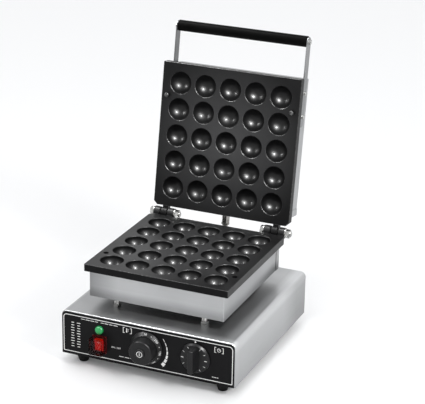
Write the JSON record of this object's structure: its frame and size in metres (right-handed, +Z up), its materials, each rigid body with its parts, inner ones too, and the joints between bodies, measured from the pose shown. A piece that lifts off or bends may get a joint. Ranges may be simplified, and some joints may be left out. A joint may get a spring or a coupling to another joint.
{
  "type": "cake pop maker",
  "caption": "Countertop cooker for cake balls: hinged lid with handle, facing plates of round cups, control box with dial, timer, lamp and switch.",
  "frame": {"origin": "Centre of the overall box on the counter plane, under the feet, with the lid open as in the picture.", "axes": "+X to the right as the user faces the control panel, +Y to the back, +Z up."},
  "size_m": [0.3, 0.4068, 0.4822],
  "materials": {
    "bright_steel": "brushed stainless sheet",
    "panel_print": "printed black plastic overlay with white markings",
    "plate_coating": "cast aluminium with dark non-stick coating",
    "zinc_steel": "bright plated fasteners",
    "mild_steel": "plain steel",
    "rubber_black": "black rubber",
    "plastic_black": "moulded phenolic plastic",
    "plastic_red": "moulded red plastic",
    "plastic_clear": "soft clear cover",
    "lamp_green": "translucent green lens",
    "nylon_pale": "pale nylon",
    "brass": "brass",
    "heater_sheath": "dark steel sheath"
  },
  "bodies": {
    "base": {"base_housing": "bright_steel", "bottom_plate": "bright_steel", "bottom_screws": "zinc_steel", "control_overlay": "panel_print", "cord_gland": "plastic_black", "cord_gland_nut": "plastic_black", "foot_front_left": "rubber_black", "foot_front_right": "rubber_black", "foot_nuts": "zinc_steel", "foot_rear_left": "rubber_black", "foot_rear_right": "rubber_black", "foot_screws": "zinc_steel", "hinge_bolts": "zinc_steel", "hinge_nuts": "zinc_steel", "hinge_washers": "zinc_steel", "hose": "rubber_black", "hose_bush": "rubber_black", "lower_casing": "bright_steel", "lower_casing_screws": "zinc_steel", "lower_clamp_screws": "zinc_steel", "lower_heater": "heater_sheath", "lower_heater_clamps": "zinc_steel", "lower_plate": "plate_coating", "pilot_lamp_body": "nylon_pale", "pilot_lamp_lens": "lamp_green", "pilot_lamp_nut": "nylon_pale", "rear_panel": "bright_steel", "rear_screws": "zinc_steel", "standoff_bolts": "zinc_steel", "standoff_nuts": "zinc_steel", "standoff_sleeves": "zinc_steel", "switch_cover": "plastic_clear", "switch_housing": "plastic_black", "terminal_block": "nylon_pale", "thermostat_body": "mild_steel", "thermostat_screws": "zinc_steel", "timer_body": "mild_steel", "timer_screws": "zinc_steel", "wire_duct": "zinc_steel", "wire_duct_nut": "zinc_steel"},
    "lid": {"lid_plate": "plate_coating", "lid_casing": "bright_steel", "lid_heater": "heater_sheath", "lid_heater_clamps": "zinc_steel", "lid_clamp_screws": "zinc_steel", "lid_casing_screws": "zinc_steel", "handle_arm_left": "bright_steel", "handle_arm_right": "bright_steel", "handle_grip": "plastic_black", "handle_rod": "mild_steel", "handle_screws": "zinc_steel", "arm_screws": "zinc_steel", "arm_nuts": "zinc_steel", "hose_union": "brass"},
    "thermostat_dial": {"thermostat_knob": "plastic_black", "thermostat_spindle": "mild_steel"},
    "timer_dial": {"timer_knob": "plastic_black", "timer_spindle": "mild_steel"},
    "rocker": {"switch_rocker": "plastic_red"}
  },
  "joints": [
    {"name": "lid_hinge", "type": "hinge", "parent": "base", "child": "lid", "pos_m": [0, 0.1087, 0.16525], "axis": [1, 0, 0], "range_deg": [0, 98.9], "deforming": ["hose"]},
    {"name": "thermostat_turn", "type": "hinge", "parent": "base", "child": "thermostat_dial", "pos_m": [0, -0.1773, 0.056], "axis": [0, 1, 0], "range_deg": [0, 270]},
    {"name": "timer_turn", "type": "hinge", "parent": "base", "child": "timer_dial", "pos_m": [0.083, -0.1773, 0.056], "axis": [0, 1, 0], "range_deg": [0, 300]},
    {"name": "switch_rock", "type": "hinge", "parent": "base", "child": "rocker", "pos_m": [-0.082, -0.1773, 0.0455], "axis": [1, 0, 0], "range_deg": [0, 22]}
  ]
}
